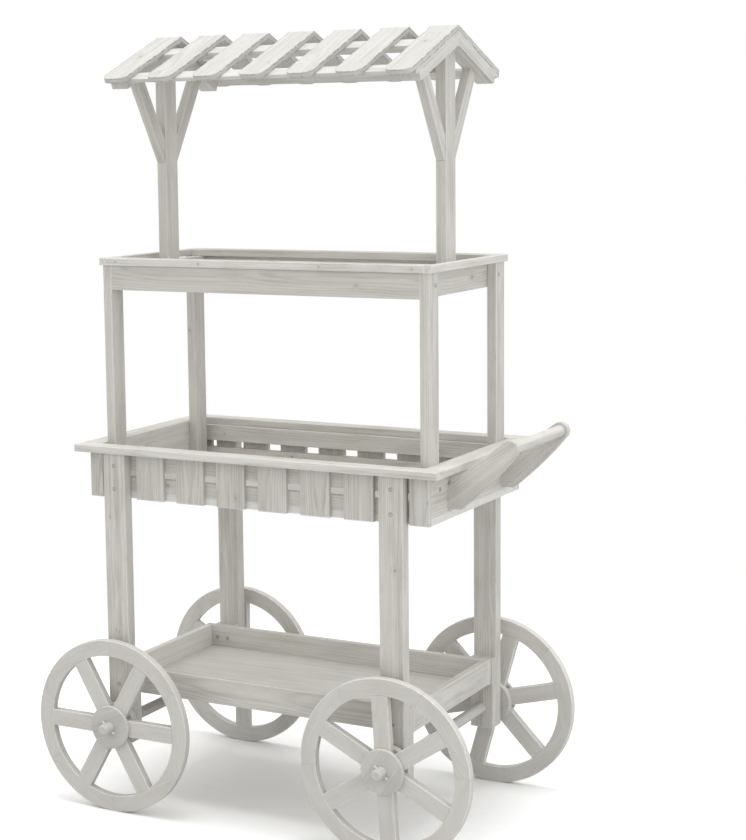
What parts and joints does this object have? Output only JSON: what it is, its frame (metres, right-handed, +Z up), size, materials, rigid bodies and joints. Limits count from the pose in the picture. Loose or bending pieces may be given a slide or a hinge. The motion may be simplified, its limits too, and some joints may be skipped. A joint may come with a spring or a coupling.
{
  "type": "candy cart",
  "caption": "Roofed wooden serving cart with stacked open trays, a push handle and spoked wheels on fixed axles.",
  "frame": {"origin": "middle of the whole cart's plan, on the floor under the wheels", "axes": "+X towards the push handle, +Y from the front to the back, +Z up"},
  "size_m": [1.248, 0.736, 1.935],
  "materials": {
    "washed_wood": "thin pale grey wash over planed softwood",
    "wheel_wood": "thin pale grey wash over sawn and glued boards",
    "roof_wood": "whiter wash, rubbed at the edges",
    "tray_floor_wood": "thin pale grey wash over flat board",
    "washed_dowel": "thin pale wash over turned dowel",
    "screw_steel": "dull zinc, partly painted over"
  },
  "bodies": {
    "cart": {"front_left_leg": "washed_wood", "front_right_leg": "washed_wood", "back_left_leg": "washed_wood", "back_right_leg": "washed_wood", "left_axle_blocks": "washed_wood", "right_axle_blocks": "washed_wood", "left_axle": "washed_dowel", "right_axle": "washed_dowel", "axle_pegs": "washed_dowel", "lower_tray_front_board": "washed_wood", "lower_tray_back_board": "washed_wood", "lower_tray_left_board": "washed_wood", "lower_tray_right_board": "washed_wood", "lower_tray_floor": "tray_floor_wood", "main_tray_floor": "tray_floor_wood", "left_end_panel": "washed_wood", "right_end_panel": "washed_wood", "front_rails": "washed_wood", "back_rails": "washed_wood", "front_slats": "washed_wood", "back_slats": "washed_wood", "main_rim_front_board": "washed_wood", "main_rim_back_board": "washed_wood", "main_rim_left_board": "washed_wood", "main_rim_right_board": "washed_wood", "handle_front_arm": "washed_wood", "handle_back_arm": "washed_wood", "handle_grip": "washed_dowel", "front_left_post": "washed_wood", "front_right_post": "washed_wood", "back_left_post": "washed_wood", "back_right_post": "washed_wood", "upper_tray_front_apron": "washed_wood", "upper_tray_back_apron": "washed_wood", "upper_tray_left_apron": "washed_wood", "upper_tray_right_apron": "washed_wood", "upper_tray_floor": "tray_floor_wood", "upper_rim_boards": "washed_wood", "upper_rim_end_strips": "washed_wood", "left_roof_post": "washed_wood", "right_roof_post": "washed_wood", "roof_braces": "washed_wood", "rafters": "washed_wood", "roof_battens": "roof_wood", "front_roof_slats": "roof_wood", "back_roof_slats": "roof_wood", "screws": "screw_steel"},
    "front_left_wheel": {"front_left_wheel_rim": "wheel_wood", "front_left_wheel_spokes": "wheel_wood", "front_left_hub_discs": "wheel_wood"},
    "front_right_wheel": {"front_right_wheel_rim": "wheel_wood", "front_right_wheel_spokes": "wheel_wood", "front_right_hub_discs": "wheel_wood"},
    "back_left_wheel": {"back_left_wheel_rim": "wheel_wood", "back_left_wheel_spokes": "wheel_wood", "back_left_hub_discs": "wheel_wood"},
    "back_right_wheel": {"back_right_wheel_rim": "wheel_wood", "back_right_wheel_spokes": "wheel_wood", "back_right_hub_discs": "wheel_wood"}
  },
  "joints": [
    {"name": "front_left_wheel_turn", "type": "hinge", "parent": "cart", "child": "front_left_wheel", "pos_m": [-0.404, -0.318, 0.22], "axis": [0, 1, 0], "continuous": true},
    {"name": "front_right_wheel_turn", "type": "hinge", "parent": "cart", "child": "front_right_wheel", "pos_m": [0.358, -0.318, 0.22], "axis": [0, 1, 0], "continuous": true},
    {"name": "back_left_wheel_turn", "type": "hinge", "parent": "cart", "child": "back_left_wheel", "pos_m": [-0.404, 0.318, 0.22], "axis": [0, 1, 0], "continuous": true},
    {"name": "back_right_wheel_turn", "type": "hinge", "parent": "cart", "child": "back_right_wheel", "pos_m": [0.358, 0.318, 0.22], "axis": [0, 1, 0], "continuous": true}
  ]
}
